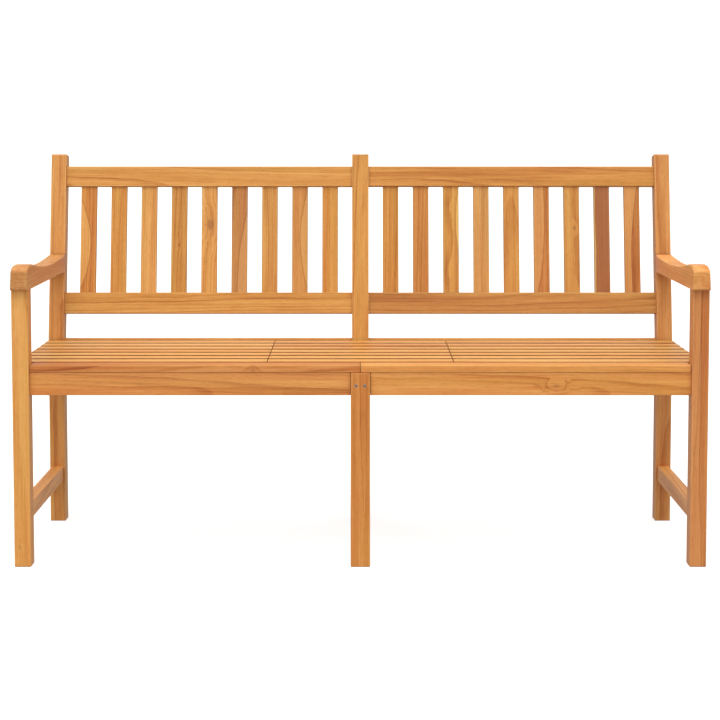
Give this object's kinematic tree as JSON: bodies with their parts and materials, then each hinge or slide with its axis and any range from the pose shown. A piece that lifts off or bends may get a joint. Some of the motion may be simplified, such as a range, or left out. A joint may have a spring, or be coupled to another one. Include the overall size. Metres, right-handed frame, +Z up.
{
  "type": "garden bench with lift-up table",
  "caption": "Slatted hardwood garden bench with armrests and a reclined slatted back; the middle of the seat lifts up and forward on folding leg frames to make a table.",
  "frame": {"origin": "on the ground, at the middle of the bench's footprint", "axes": "+Z up, +X along the bench to the right seen from the front, +Y from the front to the back"},
  "size_m": [1.5, 0.5988, 0.8852],
  "materials": {
    "frame_teak": "oiled, fine sanded, straight grain along each board",
    "slat_teak": "oiled, fine sanded, grain along each slat, colour varies from slat to slat",
    "under_teak": "planed, lightly oiled",
    "dowel_wood": "raw",
    "stainless": "satin"
  },
  "bodies": {
    "bench_frame": {"left_front_leg": "frame_teak", "right_front_leg": "frame_teak", "middle_front_leg": "frame_teak", "left_rear_post": "frame_teak", "right_rear_post": "frame_teak", "middle_rear_post": "frame_teak", "left_armrest": "frame_teak", "right_armrest": "frame_teak", "left_stretcher": "frame_teak", "right_stretcher": "frame_teak", "left_side_rail": "under_teak", "right_side_rail": "under_teak", "middle_seat_rail": "under_teak", "left_front_apron": "frame_teak", "right_front_apron": "frame_teak", "left_rear_rail": "frame_teak", "right_rear_rail": "frame_teak", "left_top_rail": "frame_teak", "right_top_rail": "frame_teak", "left_lower_rail": "frame_teak", "right_lower_rail": "frame_teak", "left_back_slats": "slat_teak", "right_back_slats": "slat_teak", "left_seat_slats": "slat_teak", "right_seat_slats": "slat_teak", "left_front_slat": "slat_teak", "right_front_slat": "slat_teak", "left_bearer": "under_teak", "right_bearer": "under_teak", "pivot_rod": "stainless", "rod_nuts": "stainless", "rod_collars": "stainless", "base_bolts": "stainless", "base_nuts": "stainless", "base_spacers": "stainless", "stop_blocks": "under_teak", "stop_screws": "stainless", "centre_leg_screws": "stainless", "frame_bolts": "stainless", "barrel_nuts": "stainless", "frame_dowels": "dowel_wood", "arm_dowels": "dowel_wood", "bearer_dowels": "dowel_wood", "seat_slat_screws": "stainless", "front_slat_screws": "stainless"},
    "front_link_frame": {"left_front_link": "under_teak", "right_front_link": "under_teak", "front_crossbar": "under_teak", "front_bar_screws": "stainless"},
    "rear_link_frame": {"left_rear_link": "under_teak", "right_rear_link": "under_teak", "rear_crossbar": "under_teak", "rear_bar_screws": "stainless"},
    "table": {"table_slats": "slat_teak", "left_table_batten": "under_teak", "right_table_batten": "under_teak", "front_table_bolts": "stainless", "rear_table_bolts": "stainless", "table_washers": "stainless", "table_slat_screws": "stainless"}
  },
  "joints": [
    {"name": "table_lift", "type": "hinge", "parent": "bench_frame", "child": "front_link_frame", "pos_m": [0, -0.18337, 0.388], "axis": [1, 0, 0], "range_deg": [0, 88]},
    {"name": "rear_link_swing", "type": "hinge", "parent": "bench_frame", "child": "rear_link_frame", "pos_m": [0, -0.04337, 0.388], "axis": [1, 0, 0], "range_deg": [0, 88]},
    {"name": "table_level", "type": "hinge", "parent": "front_link_frame", "child": "table", "pos_m": [0, 0.00511, 0.412], "axis": [1, 0, 0], "range_deg": [-88, 0]}
  ],
  "couplings": [
    {"joint": "rear_link_swing", "follows": "table_lift", "ratio": 1},
    {"joint": "table_level", "follows": "table_lift", "ratio": -1}
  ]
}
